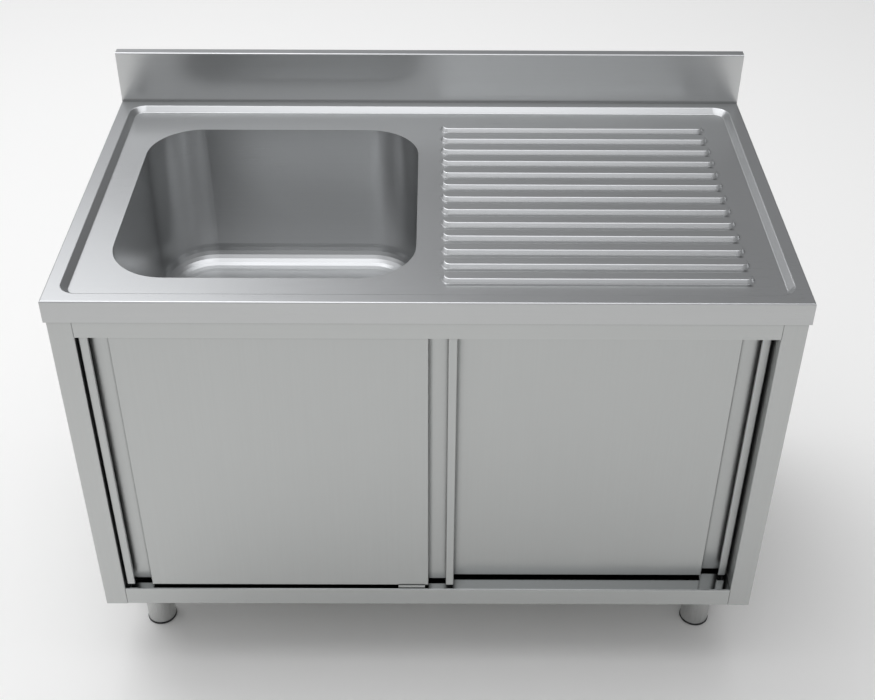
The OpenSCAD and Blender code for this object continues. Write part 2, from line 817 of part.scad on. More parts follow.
module foot_channels() {
  color(inner_steel)
    difference() {
      for (x = [-leg_x, leg_x])
        along_y(upright_back + upright_gap, rear_sheet_y - shelf_hem - hem_gap)
          polygon(hat(x, shelf_under, base_h, foot_channel_w, foot_channel_t));
      for (p = leg_bolt_places)
        rod(p[0], p[1], base_h - over, base_h + foot_channel_t + over, leg_bolt_r + bolt_gap);
    }
}

// Legs
module leg_plates() {
  spigot_r = leg_r - leg_wall - bolt_gap;
  low = leg_top - leg_spigot_h;
  color(inner_steel)
    difference() {
      for (p = leg_places) {
        box([p[0] - leg_plate_w / 2, p[1] - leg_plate_w / 2, leg_top],
          [p[0] + leg_plate_w / 2, p[1] + leg_plate_w / 2, base_h]);
        rod(p[0], p[1], low, leg_top, spigot_r);
      }
      for (p = leg_places) rod(p[0], p[1], low - over, leg_top, spigot_r - spigot_wall);
      for (p = leg_bolt_places) rod(p[0], p[1], leg_top - over, base_h + over, leg_bolt_r + bolt_gap);
    }
}

module leg_bolts() {
  nut_z = base_h + foot_channel_t;
  color(dark_steel)
    for (p = leg_bolt_places) {
      hexagon(p[0], p[1], leg_top - head_h, leg_top, hex_ratio * leg_bolt_r);
      rod(p[0], p[1], leg_top - head_h, nut_z + head_h + bolt_end, leg_bolt_r);
      difference() {
        hexagon(p[0], p[1], nut_z, nut_z + head_h, hex_ratio * leg_bolt_r);
        rod(p[0], p[1], nut_z - over, nut_z + head_h + over, leg_bolt_r + bolt_gap / 3);
      }
    }
}

module leg_tubes() {
  color(steel)
    difference() {
      for (p = leg_places) rod(p[0], p[1], leg_bottom, leg_top, leg_r);
      for (p = leg_places) rod(p[0], p[1], leg_bottom - over, leg_top + over, leg_r - leg_wall);
    }
}

module leg_plugs() {
  color(black)
    difference() {
      for (p = leg_places) {
        rod(p[0], p[1], foot_disc_h, leg_bottom, leg_r);
        rod(p[0], p[1], leg_bottom, leg_bottom + plug_h, leg_r - leg_wall - bolt_gap / 3);
      }
      for (p = leg_places)
        rod(p[0], p[1], foot_disc_h - over, leg_bottom + plug_h + over, stud_r + bolt_gap);
    }
}

module foot(x, y) {
  color(black)
    translate([x, y, 0])
      rotate_extrude()
        polygon([[0, 0], [foot_r - foot_bevel, 0], [foot_r, foot_bevel], [foot_r, foot_disc_h],
          [stud_r, foot_disc_h], [stud_r, stud_top - foot_bevel], [stud_r - foot_bevel, stud_top],
          [0, stud_top]]);
}

module foot_front_left() {
  foot(-leg_x, -leg_y);
}

module foot_front_right() {
  foot(leg_x, -leg_y);
}

module foot_rear_left() {
  foot(-leg_x, leg_y);
}

module foot_rear_right() {
  foot(leg_x, leg_y);
}

// Door track, two runways side by side
module door_track() {
  front = front_lane;
  rear = front_lane + lane_pitch;
  floor_z = runway_z - track_t;
  color(dark_steel)
    difference() {
      along_x(-track_half, track_half) {
        polygon(folded([[rear + lip_y, runway_z + runway_lip], [rear + lip_y, floor_z],
          [rear + wall_y + track_t, floor_z], [rear + wall_y + track_t, track_top],
          [body_front + sheet_t + bend_r, track_top]], track_t, bend_r));
        polygon(folded([[front + lip_y, runway_z + runway_lip], [front + lip_y, floor_z],
          [front + wall_y + track_t, floor_z], [front + wall_y + track_t, track_top - track_t / 2]],
          track_t, bend_r));
      }
      for (x = screw_x) rod(x, screw_y, track_top - track_t - over, track_top + over, screw_r + bolt_gap);
    }
}

module track_screws() {
  head_z = track_top - track_t;
  color(dark_steel)
    for (x = screw_x) {
      rod(x, screw_y, head_z, pan_under, screw_r);
      rod(x, screw_y, head_z - screw_head, head_z, screw_r + screw_head);
    }
}

module track_stops() {
  color(black)
    for (lane = [front_lane, front_lane + lane_pitch], side = [0, 1])
      mirror([side, 0, 0])
        along_x(stop_x, stop_x + stop_len)
          translate([lane, 0])
            polygon([[lip_y + track_t + bend_r, runway_z], [wall_y - bend_r, runway_z],
              [wall_y, runway_z + bend_r], [wall_y, stop_top], [wheel_y, stop_top],
              [lip_y + track_t, runway_z + runway_lip], [lip_y + track_t, runway_z + bend_r]]);
}

module door_guide() {
  x1 = -guide_offset;
  x0 = x1 - guide_w;
  top = shelf_top + guide_h;
  front_top = shelf_top + guide_front_h;
  front = front_door_y - guide_gap - sheet_t;
  back = front_door_y + lane_pitch + door_t + guide_gap + sheet_t;
  middle = front_door_y + door_t + (door_gap - sheet_t) / 2;
  color(steel) {
    along_x(x0, x1)
      polygon(folded([[front, front_top], [front, shelf_top], [back, shelf_top], [back, top]],
        sheet_t, bend_r));
    box([x0, middle, shelf_top + sheet_t / 2], [x1, middle + sheet_t, top]);
  }
}

// Doors, drawn from their left front edge
module door_skin() {
  lip = pull_lip - sheet_t;
  left = [[lip, pull_hem], [lip, sheet_t], [sheet_t, sheet_t], [sheet_t, pull_depth],
    [pull_w, pull_depth], [pull_w, 0]];
  path = concat(left, [for (p = reversed(left)) [door_w - p[0], p[1]]]);
  low = [pull_w + sheet_t / 2, sheet_t / 2];
  high = [door_w - pull_w - sheet_t / 2, pull_depth + sheet_t];
  color(steel)
    difference() {
      union() {
        along_z(door_bottom, door_top) polygon(folded(path, sheet_t, bend_r));
        for (z = [door_bottom, door_top - sheet_t])
          box([low[0], low[1], z], [high[0], high[1], z + sheet_t]);
      }
      for (x = hanger_bolt_x)
        rod(x, hanger_bolt_y, door_top - sheet_t - over, door_top + over, gear_bolt_r + bolt_gap);
    }
}

module door_back() {
  front = pull_depth + sheet_t;
  color(inner_steel) {
    along_z(door_bottom, door_top)
      polygon(folded([[door_w, front], [door_w, door_t], [0, door_t], [0, front]], sheet_t, bend_r));
    for (z = [door_bottom, door_top - sheet_t])
      box([sheet_t / 2, front, z], [door_w - sheet_t / 2, door_t - sheet_t / 2, z + sheet_t]);
  }
}

module door_hangers() {
  plate = door_t / 2 + plate_y;
  top = roller_z + hanger_rise;
  roller_y = door_t / 2 + wheel_y;
  color(dark_steel)
    for (x = [roller_inset, door_w - roller_inset]) {
      difference() {
        along_x(x - hanger_w / 2, x + hanger_w / 2)
          polygon(folded([[plate, top], [plate, door_top], [pull_depth, door_top]],
            hanger_t, bend_r));
        for (side = [-1, 1])
          rod(x + side * hanger_w / 4, hanger_bolt_y, door_top - over, door_top + hanger_t + over,
            gear_bolt_r + bolt_gap);
      }
      translate([x, 0, roller_z]) {
        axle_part(plate - axle_step, plate + hanger_t / 2, axle_r + axle_step);
        axle_part(plate, roller_y + roller_w / 2 + axle_step, axle_r);
        axle_part(plate + hanger_t / 2, roller_y - roller_w / 2 - axle_play, axle_r + axle_step);
        axle_part(roller_y + roller_w / 2 + axle_play, roller_y + roller_w / 2 + axle_step,
          axle_r + axle_step);
      }
    }
}

// A length of axle between two depths
module axle_part(y0, y1, r) {
  translate([0, y1, 0]) rotate([90, 0, 0]) cylinder(h = y1 - y0, r = r);
}

module door_bolts() {
  z = door_top + hanger_t;
  low = door_top - sheet_t;
  color(dark_steel)
    for (x = hanger_bolt_x) {
      hexagon(x, hanger_bolt_y, z, z + head_h, gear_hex_ratio * gear_bolt_r);
      rod(x, hanger_bolt_y, low - head_h - hem_gap, z + head_h / 2, gear_bolt_r);
      difference() {
        hexagon(x, hanger_bolt_y, low - head_h, low, gear_hex_ratio * gear_bolt_r);
        rod(x, hanger_bolt_y, low - head_h - over, low + over, gear_bolt_r + bolt_gap / 3);
      }
    }
}

// Roller with a plain tread and a recessed face, on a door drawn from its left front edge
module door_roller(x) {
  half = roller_w / 2;
  bore = axle_r + axle_gap;
  hub = bore + roller_hub;
  rim = roller_r - roller_rim;
  color(black)
    translate([x, door_t / 2 + wheel_y, roller_z])
      rotate([90, 0, 0])
        rotate_extrude()
          polygon([[bore, -half], [hub, -half], [hub + roller_slant, -half + roller_dish],
            [rim - roller_slant, -half + roller_dish], [rim, -half], [roller_r - roller_bevel, -half],
            [roller_r, -half + roller_bevel], [roller_r, half - roller_bevel],
            [roller_r - roller_bevel, half], [rim, half], [rim - roller_slant, half - roller_dish],
            [hub + roller_slant, half - roller_dish], [hub, half], [bore, half]]);
}

module at_front_door() {
  translate([front_door_x, front_door_y, 0]) children();
}

module at_rear_door() {
  translate([rear_door_x, front_door_y + lane_pitch, 0]) children();
}

module front_door_skin() {
  at_front_door() door_skin();
}

module front_door_back() {
  at_front_door() door_back();
}

module front_door_hangers() {
  at_front_door() door_hangers();
}

module front_door_bolts() {
  at_front_door() door_bolts();
}

module front_door_roller_left() {
  at_front_door() door_roller(roller_inset);
}

module front_door_roller_right() {
  at_front_door() door_roller(door_w - roller_inset);
}

module rear_door_skin() {
  at_rear_door() door_skin();
}

module rear_door_back() {
  at_rear_door() door_back();
}

module rear_door_hangers() {
  at_rear_door() door_hangers();
}

module rear_door_bolts() {
  at_rear_door() door_bolts();
}

module rear_door_roller_left() {
  at_rear_door() door_roller(roller_inset);
}

module rear_door_roller_right() {
  at_rear_door() door_roller(door_w - roller_inset);
}

worktop();
drainer_stiffeners();
bowl();
bowl_pad();
waste_flange();
waste_gasket();
waste_nut();
strainer_basket();
left_side_panel();
right_side_panel();
header_rail();
rear_top_rail();
rear_panel();
bottom_shelf();
shelf_stiffener();
foot_channels();
leg_plates();
leg_bolts();
leg_tubes();
leg_plugs();
foot_front_left();
foot_front_right();
foot_rear_left();
foot_rear_right();
door_track();
track_screws();
track_stops();
door_guide();
front_door_skin();
front_door_back();
front_door_hangers();
front_door_bolts();
front_door_roller_left();
front_door_roller_right();
rear_door_skin();
rear_door_back();
rear_door_hangers();
rear_door_bolts();
rear_door_roller_left();
rear_door_roller_right();
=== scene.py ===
# %% [markdown]
# # A stainless steel sink unit
# The unit is a pressed worktop with a deep bowl and a ribbed drainer, standing on a cabinet
# with two sliding doors and four adjustable legs. Its sheet metal is already built at real
# size, with every fold and joint, and it is loaded here as a fixed frame. This lesson gives
# it a camera, a studio and finishes, and adds the small things a metalworker would leave on it.

# %% Load the built unit
import math
import bpy
from mathutils import Euler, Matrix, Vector
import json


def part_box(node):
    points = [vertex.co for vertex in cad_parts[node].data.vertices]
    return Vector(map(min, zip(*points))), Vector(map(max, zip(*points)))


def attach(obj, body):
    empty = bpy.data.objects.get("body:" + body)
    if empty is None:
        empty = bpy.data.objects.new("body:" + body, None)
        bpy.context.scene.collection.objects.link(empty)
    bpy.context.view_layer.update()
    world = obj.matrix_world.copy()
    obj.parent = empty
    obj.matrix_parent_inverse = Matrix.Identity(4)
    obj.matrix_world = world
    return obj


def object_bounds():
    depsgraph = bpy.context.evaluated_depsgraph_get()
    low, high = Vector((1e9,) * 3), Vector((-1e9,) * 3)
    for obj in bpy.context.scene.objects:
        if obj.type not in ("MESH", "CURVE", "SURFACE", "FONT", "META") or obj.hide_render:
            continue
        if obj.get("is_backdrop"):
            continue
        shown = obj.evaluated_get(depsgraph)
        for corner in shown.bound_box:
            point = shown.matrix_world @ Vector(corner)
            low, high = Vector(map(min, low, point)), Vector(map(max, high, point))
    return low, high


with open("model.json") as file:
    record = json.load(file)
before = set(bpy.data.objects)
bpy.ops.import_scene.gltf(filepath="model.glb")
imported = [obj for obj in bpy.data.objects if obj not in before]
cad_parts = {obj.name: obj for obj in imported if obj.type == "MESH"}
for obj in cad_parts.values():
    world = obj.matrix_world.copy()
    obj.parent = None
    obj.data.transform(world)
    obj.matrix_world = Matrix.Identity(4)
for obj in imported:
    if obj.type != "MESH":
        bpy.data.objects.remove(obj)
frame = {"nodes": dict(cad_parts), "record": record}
built_low, built_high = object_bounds()
scene = bpy.context.scene
print("unit measures", [round(b - a, 3) for a, b in zip(built_low, built_high)], "m")

# %% [markdown]
# ## Camera
# A product picture of a sink is taken from above and in front, so that the bowl and the doors
# both show. The place, the tilt and the focal length below were solved from straight edges of
# the unit in its photograph. Solving gives the same picture again, where guessing by eye
# would leave every edge a little off.

# %% Camera
SENSOR_WIDTH = 36.0
PHOTO_WIDTH = 875
FOCAL_PIXELS = 1312.75

camera_data = bpy.data.cameras.new("camera")
camera_data.sensor_width = SENSOR_WIDTH
camera_data.lens = SENSOR_WIDTH * FOCAL_PIXELS / PHOTO_WIDTH
camera_data.clip_start, camera_data.clip_end = 0.05, 60
camera = bpy.data.objects.new("camera", camera_data)
camera.location = (0.00915, -2.00258, 2.01680)
camera.rotation_euler = Euler((0.920218, -0.004377, -0.000326), "XYZ")
scene.collection.objects.link(camera)
scene.camera = camera
print("lens", round(camera_data.lens, 2), "mm")

# %% [markdown]
# ## Floor
# Polished and brushed metal has no look of its own: it shows the room. The floor in front of
# the doors is what the doors show, so it is a real plane that takes a real shadow, and not a
# white backdrop. It is large enough that the product camera never sees its far edge.

# %% Floor
FLOOR_HALF = 12.0
FLOOR_TONE = (0.965, 0.957, 0.930, 1)

def make_floor():
    mesh = bpy.data.meshes.new("floor")
    corners = [(-1, -1), (1, -1), (1, 1), (-1, 1)]
    mesh.from_pydata([(x * FLOOR_HALF, y * FLOOR_HALF, 0) for x, y in corners], [], [(0, 1, 2, 3)])
    floor = bpy.data.objects.new("floor", mesh)
    scene.collection.objects.link(floor)
    material = bpy.data.materials.new("studio floor")
    material.use_nodes = True
    shader = material.node_tree.nodes["Principled BSDF"]
    shader.inputs["Base Color"].default_value = FLOOR_TONE
    shader.inputs["Roughness"].default_value = 0.9
    shader.inputs["Specular IOR Level"].default_value = 0.1
    mesh.materials.append(material)
    floor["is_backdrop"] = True
    return floor

floor = make_floor()
print("floor", 2 * FLOOR_HALF, "m square")

# %% [markdown]
# ## Lamps
# Brushed steel needs big, soft lights with a bright side and a dull side: a bare white room
# would make it flat. Each lamp is a round soft panel that hangs on a dome around the unit and
# looks at its middle, so it can be named by its compass angle and its height angle. A panel as
# wide as the ceiling gives the deck its sheen, one behind the left shoulder makes the left of
# the deck brighter than the right, and a weak one in front lights the fronts of the ribs.
# All the light is a trace blue and the floor a trace warm: the floor and the doors that
# mirror it then come out neutral, and the deck that mirrors the lamps comes out cool.

# %% Soft lamps on a dome
DOME_CENTRE = Vector((0, 0, 0.6))
LIGHT_TINT = (0.990, 0.998, 1.027)

def soft_lamp(name, compass, height, distance, size, power):
    """Compass angle is 0 behind the unit and positive to its right, in degrees."""
    turn, lift = math.radians(compass), math.radians(height)
    level = math.cos(lift)
    offset = Vector((math.sin(turn) * level, math.cos(turn) * level, math.sin(lift)))
    data = bpy.data.lights.new(name, "AREA")
    data.shape = "DISK"
    data.size = size
    data.energy = power
    data.color = LIGHT_TINT
    lamp = bpy.data.objects.new(name, data)
    lamp.location = DOME_CENTRE + distance * offset
    lamp.rotation_euler = offset.to_track_quat("Z", "Y").to_euler()
    scene.collection.objects.link(lamp)
    return lamp

soft_lamp("ceiling lamp", 0, 88, 4.6, 5.0, 89)
soft_lamp("back left lamp", -45, 55, 5.0, 4.2, 78)
soft_lamp("front lamp", 180, 45, 5.0, 3.4, 12)

# %% [markdown]
# ## Room
# Metal also shows the room between the lamps. The room has an even grey, a wide glow from the
# left wall, and fainter glows from above and from the front. Each glow is a dot product of
# the view direction with the direction of the glow, and squaring it makes it fade slowly.
# A low camera can look past the floor's edge, so for camera rays alone the room is a pale
# backdrop: it closes the picture and adds no light to the metal.

# %% One glow of the room
def math_node(tree, operation, *values):
    """A math node that takes numbers and the outputs of other nodes."""
    made = tree.nodes.new("ShaderNodeMath")
    made.operation = operation
    for socket, value in zip(made.inputs, values):
        if isinstance(value, bpy.types.NodeSocket):
            tree.links.new(value, socket)
        else:
            socket.default_value = value
    return made.outputs["Value"]

def glow(tree, direction, toward, level, under):
    """A level that fades away from one direction, added to the level under it."""
    dot = tree.nodes.new("ShaderNodeVectorMath")
    dot.operation = "DOT_PRODUCT"
    tree.links.new(direction, dot.inputs[0])
    dot.inputs[1].default_value = Vector(toward).normalized()
    facing = math_node(tree, "MAXIMUM", dot.outputs["Value"], 0.0)
    squared = math_node(tree, "POWER", facing, 2.0)
    return math_node(tree, "MULTIPLY_ADD", squared, level, under)

print("a glow at 45 degrees from its middle has", round(math.cos(math.radians(45)) ** 2, 2),
      "of its level")

# %% A graded room
BACKDROP = (0.86, 0.86, 0.86, 1)

def make_room(even, glows):
    """Each glow is a direction and a level; they are added to the even level."""
    world = bpy.data.worlds.new("studio room")
    scene.world = world
    world.use_nodes = True
    tree = world.node_tree
    direction = tree.nodes.new("ShaderNodeTexCoord").outputs["Generated"]
    total = even
    for toward, level in glows:
        total = glow(tree, direction, toward, level, total)
    tinted = tree.nodes.new("ShaderNodeVectorMath")
    tinted.operation = "SCALE"
    tinted.inputs["Vector"].default_value = LIGHT_TINT
    tree.links.new(total, tinted.inputs["Scale"])
    ray = tree.nodes.new("ShaderNodeLightPath")
    seen = tree.nodes.new("ShaderNodeMix")
    seen.data_type = "RGBA"
    tree.links.new(ray.outputs["Is Camera Ray"], seen.inputs["Factor"])
    tree.links.new(tinted.outputs["Vector"], seen.inputs["A"])
    seen.inputs["B"].default_value = BACKDROP
    tree.links.new(seen.outputs["Result"], tree.nodes["Background"].inputs["Color"])

EVEN_LEVEL = 0.21
GLOWS = [((-1, 0, 0.3), 0.59), ((0, 0, 1), 0.22), ((0, -1, 0.3), 0.18)]
make_room(EVEN_LEVEL, GLOWS)
scene.view_settings.view_transform = "Standard"
print("room: even", EVEN_LEVEL, "with glows of", [level for _, level in GLOWS])

# %% [markdown]
# ## Helpers for node materials
# Every finish below is a small graph of nodes, and wiring each by hand would take a page. The
# helper class keeps the material, its tree and its main shader together, and takes either a
# number or another node's output for any input. Small functions cover the rest: noise that
# is stretched along a grain, a map from one range to another, a sum or product of two values,
# a band between two limits, which is two such maps multiplied, and a blend of two colours.

# %% A helper that wires nodes
class Wiring:
    """Adds nodes to a material and joins them by name."""

    def __init__(self, name):
        self.material = bpy.data.materials.new(name)
        self.material.use_nodes = True
        self.tree = self.material.node_tree
        self.shader = self.tree.nodes["Principled BSDF"]

    def node(self, kind, settings=None, **inputs):
        made = self.tree.nodes.new(kind)
        for key, value in (settings or {}).items():
            setattr(made, key, value)
        for name, value in inputs.items():
            self.feed(made.inputs[name], value)
        return made

    def feed(self, socket, value):
        if isinstance(value, bpy.types.NodeSocket):
            self.tree.links.new(value, socket)
        else:
            socket.default_value = value

    def set(self, name, value):
        self.feed(self.shader.inputs[name], value)

print("wiring helper:", [name for name in vars(Wiring) if not name.startswith("_")])

# %% Noise and ranges
def grain_scale(along, across, axis):
    """How many features fit in a metre along each axis, long ones along the grain."""
    return [1 / along if letter in axis else 1 / across for letter in "XYZ"]

def grain_noise(wiring, place, along, across, axis, detail=2.0):
    """Noise with one feature size along the grain axes and another across them, in metres."""
    scale = grain_scale(along, across, axis)
    mapping = wiring.node("ShaderNodeMapping", Vector=place, Scale=scale)
    noise = wiring.node("ShaderNodeTexNoise", Vector=mapping.outputs["Vector"], Scale=1.0,
                        Detail=detail, Roughness=0.6)
    return noise.outputs["Fac"]

def spread(wiring, value, low, high, start=0.3, end=0.7):
    """Maps one range to another, by default the middle of a noise, and stops at its ends."""
    made = wiring.node("ShaderNodeMapRange", Value=value)
    made.inputs["From Min"].default_value = start
    made.inputs["From Max"].default_value = end
    made.inputs["To Min"].default_value = low
    made.inputs["To Max"].default_value = high
    return made.outputs["Result"]

def joined(wiring, first, second, operation="ADD"):
    """One sum of two values, or another operation on them."""
    made = wiring.node("ShaderNodeMath", {"operation": operation})
    wiring.feed(made.inputs[0], first)
    wiring.feed(made.inputs[1], second)
    return made.outputs["Value"]

print("features 0.05 m long and 0.001 m wide along X, per metre:", grain_scale(0.05, 0.001, "X"))

# %% Bands and blends
def band(wiring, value, low, high, soft):
    """1 between low and high, falling to 0 within a soft width outside them."""
    rising = spread(wiring, value, 0.0, 1.0, low - soft, low)
    falling = spread(wiring, value, 1.0, 0.0, high, high + soft)
    return joined(wiring, rising, falling, "MULTIPLY")

def two_tones(wiring, factor, first, second):
    """Blends from a first colour to a second one, which may be an output of another node."""
    mix = wiring.node("ShaderNodeMix", {"data_type": "RGBA"})
    wiring.feed(mix.inputs["Factor"], factor)
    mix.inputs["A"].default_value = first
    wiring.feed(mix.inputs["B"], second)
    return mix.outputs["Result"]

def shade(tone, gain, lift=0.0):
    """A colour a little darker or lighter than a tone, with its alpha."""
    return [min(1, c * gain + lift) for c in tone] + [1]

print("a grey darkened by a tenth:", shade((0.5, 0.5, 0.5), 0.9))

# %% [markdown]
# ## Brushed steel
# Brushed stainless steel is a mirror with thousands of fine scratches in one direction. The
# scratches spread each reflection, more across the grain than along it. The material is a
# metal shader whose roughness and tiny bumps come from noise that is stretched along the
# grain. Two slower noises add the faint cloudiness that sheet has from the mill and from
# wiping. An occlusion node finds the tight folds and seams and paints shade into them: the
# colour is darkened there as painted shade, and the roughness is raised. A second one with a
# longer reach finds the hollows behind the finger pulls of the doors and paints them nearly
# black, which is painted shade too. Noise in real metres is used because it needs no
# unwrapped picture and fits any sheet.

# %% Painted shade in creases and hollows
CREASE_REACH, CREASE_SHUT, CREASE_OPEN = 0.006, 0.5, 0.97
# Painted shade: how dark the creases and the hollows behind the pulls are made.
CREASE_SHADE_TONE, CREASE_ROUGHNESS = 0.45, 0.12
HOLLOW_SHADE_TONE, HOLLOW_SHUT, HOLLOW_OPEN = 0.12, 0.22, 0.58

def openness(w, distance):
    """How much of its half sphere a point sees free of metal, within a distance."""
    return w.node("ShaderNodeAmbientOcclusion", {"samples": 4}, Distance=distance).outputs["AO"]

# Openness that sets the painted shade and the extra roughness in creases.
def crease_shade_openness(w, distance):
    """0 in a tight crease and 1 on open metal."""
    return spread(w, openness(w, distance), 0.0, 1.0, CREASE_SHUT, CREASE_OPEN)

def painted_hollow_shade(w, distance):
    """How dark the painted shade in a deep hollow is; 1 on open metal and in plain corners."""
    return spread(w, openness(w, distance), HOLLOW_SHADE_TONE, 1.0, HOLLOW_SHUT, HOLLOW_OPEN)

print("creases are looked for", CREASE_REACH * 1000, "mm around each point")

# %% Scratches, streaks and clouds
FINE_SCRATCH = (0.05, 0.0004)
BROAD_STREAK = (0.30, 0.0025)
MILL_CLOUD = (0.45, 0.30)
SCRATCH_SWING, CLOUD_SWING = 0.02, 0.012
TONE_SWING, STREAK_SPAN = 0.015, 0.8

def steel_roughness(w, place, axis, fine, roughness, crease_openness):
    """The level of the finish, with its scratches and clouds, rougher in the creases."""
    clouds = grain_noise(w, place, *MILL_CLOUD, axis)
    rough = joined(w, spread(w, fine, -SCRATCH_SWING, SCRATCH_SWING),
                   spread(w, clouds, -CLOUD_SWING, CLOUD_SWING))
    creased = spread(w, crease_openness, CREASE_ROUGHNESS, 0.0, 0.0, 1.0)
    return joined(w, joined(w, rough, roughness), creased)

def steel_tone(w, place, axis, fine, tone, crease_openness):
    """The colour of the metal, streaked along the grain, with painted shade in the creases."""
    coarse = grain_noise(w, place, *BROAD_STREAK, axis)
    streaks = joined(w, spread(w, fine, -0.5, 0.5), spread(w, coarse, -0.5, 0.5))
    streak = spread(w, streaks, 0.0, 1.0, -STREAK_SPAN, STREAK_SPAN)
    streaked = two_tones(w, streak, shade(tone, 1 - TONE_SWING), shade(tone, 1 + TONE_SWING))
    # Painted shade: a darker copy of the tone fills the creases.
    return two_tones(w, crease_openness, shade(tone, CREASE_SHADE_TONE), streaked)

print("scratches", FINE_SCRATCH[1] * 1000, "mm wide and", FINE_SCRATCH[0] * 1000, "mm long")

# %% The steel itself
LOBE = {"X": ((1, 0, 0), 0.25), "Z": ((0, 0, 1), 0.25), "XY": ((0, 0, 1), 0.0)}
LOBE_STRETCH = 0.35
SCRATCH_DEPTH, SCRATCH_STRENGTH = 0.0002, 0.03

def brushed_steel(name, tone, axis, roughness, reach=CREASE_REACH, hollow=None, painted_light=None):
    """Reach and hollow are how far creases and hollows are looked for, for their painted shade;
    the last argument adds a mask of painted sheen and shade.
    """
    w = Wiring(name)
    place = w.node("ShaderNodeTexCoord").outputs["Object"]
    fine = grain_noise(w, place, *FINE_SCRATCH, axis)
    crease_openness = crease_shade_openness(w, reach)
    w.set("Roughness", steel_roughness(w, place, axis, fine, roughness, crease_openness))
    level = 1.0
    # Painted shade in the hollows behind the door pulls.
    if hollow:
        level = painted_hollow_shade(w, hollow)
    # The worktop's mask paints sheen and shade into the tone.
    if painted_light:
        level = painted_light(w, place)
    tone_with_painted_shade = steel_tone(w, place, axis, fine, tone, crease_openness)
    toned = w.node("ShaderNodeVectorMath", {"operation": "SCALE"}, Vector=tone_with_painted_shade, Scale=level)
    w.set("Base Color", toned.outputs["Vector"])
    bump = w.node("ShaderNodeBump", Height=fine, Strength=SCRATCH_STRENGTH, Distance=SCRATCH_DEPTH)
    w.set("Normal", bump.outputs["Normal"])
    (x, y, z), turn = LOBE[axis]
    w.set("Tangent", w.node("ShaderNodeCombineXYZ", X=x, Y=y, Z=z).outputs["Vector"])
    w.set("Anisotropic", LOBE_STRETCH)
    w.set("Anisotropic Rotation", turn)
    w.set("Metallic", 1.0)
    return w.material

print("grains to choose from:", list(LOBE))

# %% [markdown]
# ## Painted light on the worktop
# The worktop's tone carries painted light. The upstand and the flanks of the ribs are made
# brighter as a painted sheen, the flanks that face the back most, which also brightens them
# where the upstand mirrors them. The strip of pan in front of each rib is darkened as painted
# shade over the bright line that the foot of the rib reflects there. Each of these places is a
# band of height or depth on the sheet, so bands between two limits, multiplied together, make
# the masks. The ribs repeat at one pitch, and a modulo of the depth draws the strip for all of
# them at once. The reflections stay real ones; the masks change only the tone of the metal.

# %% Masks of painted light for the worktop
# Painted sheen on the upstand and the rib flanks, painted shade on a strip before each rib.
UPSTAND_FOOT, UPSTAND_SOFT, UPSTAND_GAIN = 0.852, 0.003, 1.12
PAN_LEVEL, PAN_SLACK, PAN_SOFT = 0.840, 0.0004, 0.0002
RIB_TOP, FIRST_RIB, RIB_PITCH = 0.847, -0.2685, 0.0421
RIBS_LEFT, RIBS_RIGHT, SIDE_SOFT = 0.030, 0.511, 0.006
RIBS_FRONT, RIBS_BACK, END_SOFT = -0.288, 0.256, 0.002
FLANK_LOW, FLANK_HIGH, FLANK_SOFT = PAN_LEVEL + 0.0008, RIB_TOP - 0.0006, 0.0004
FRONT_GAIN, BACK_GAIN = 1.30, 1.75
BACK_FROM, BACK_FULL = 0.2, 0.5
STRIP_NEAR, STRIP_FAR, STRIP_SOFT, STRIP_SHADE_TONE = 0.0150, 0.0203, 0.0012, 0.44

def painted_light_on_worktop(w, place):
    """Painted sheen on the upstand and the ribs' flanks, painted shade on a strip before each rib.
    """
    where = w.node("ShaderNodeSeparateXYZ", Vector=place).outputs
    normal = w.node("ShaderNodeNewGeometry").outputs["Normal"]
    facing = w.node("ShaderNodeSeparateXYZ", Vector=normal).outputs
    # Painted sheen: the upstand is made brighter above its foot.
    upstand = spread(w, where["Z"], 1.0, UPSTAND_GAIN, UPSTAND_FOOT, UPSTAND_FOOT + UPSTAND_SOFT)
    over_ribs = joined(w, band(w, where["X"], RIBS_LEFT, RIBS_RIGHT, SIDE_SOFT),
                       band(w, where["Y"], RIBS_FRONT, RIBS_BACK, END_SOFT), "MULTIPLY")

    # Painted sheen on the rib flanks, strongest on those that face the back.
    flank = band(w, where["Z"], FLANK_LOW, FLANK_HIGH, FLANK_SOFT)
    flank_facing_sheen = spread(w, facing["Y"], FRONT_GAIN - 1, BACK_GAIN - 1, BACK_FROM, BACK_FULL)
    flank_on_rib = joined(w, flank, over_ribs, "MULTIPLY")
    flank_gain = joined(w, joined(w, flank_on_rib, flank_facing_sheen, "MULTIPLY"), 1.0)

    # Painted shade on the pan just before each rib, over the bright line its foot reflects.
    from_first = joined(w, where["Y"], FIRST_RIB, "SUBTRACT")
    behind_rib = joined(w, from_first, RIB_PITCH, "FLOORED_MODULO")
    strip = band(w, behind_rib, RIB_PITCH - STRIP_FAR, RIB_PITCH - STRIP_NEAR, STRIP_SOFT)
    on_pan = band(w, where["Z"], PAN_LEVEL - PAN_SLACK, PAN_LEVEL + PAN_SLACK, PAN_SOFT)
    before_rib = joined(w, joined(w, strip, on_pan, "MULTIPLY"), over_ribs, "MULTIPLY")
    strip_shade = spread(w, before_rib, 1.0, STRIP_SHADE_TONE, 0.0, 1.0)
    return joined(w, joined(w, upstand, flank_gain, "MULTIPLY"), strip_shade, "MULTIPLY")

# The count of ribs that the masks of painted light cover.
ribs = round((RIBS_BACK - RIBS_FRONT) / RIB_PITCH)
print("belt masks for", ribs, "ribs,", round((RIB_TOP - PAN_LEVEL) * 1000, 1), "mm high")

# %% Steel for each part of the unit
worktop_steel = brushed_steel("worktop steel", (0.54, 0.547, 0.546), "X", 0.30,
                              painted_light=painted_light_on_worktop)
bowl_steel = brushed_steel("bowl steel", (0.586, 0.593, 0.594), "XY", 0.30)
cabinet_steel = brushed_steel("cabinet steel", (0.505, 0.514, 0.508), "Z", 0.32)
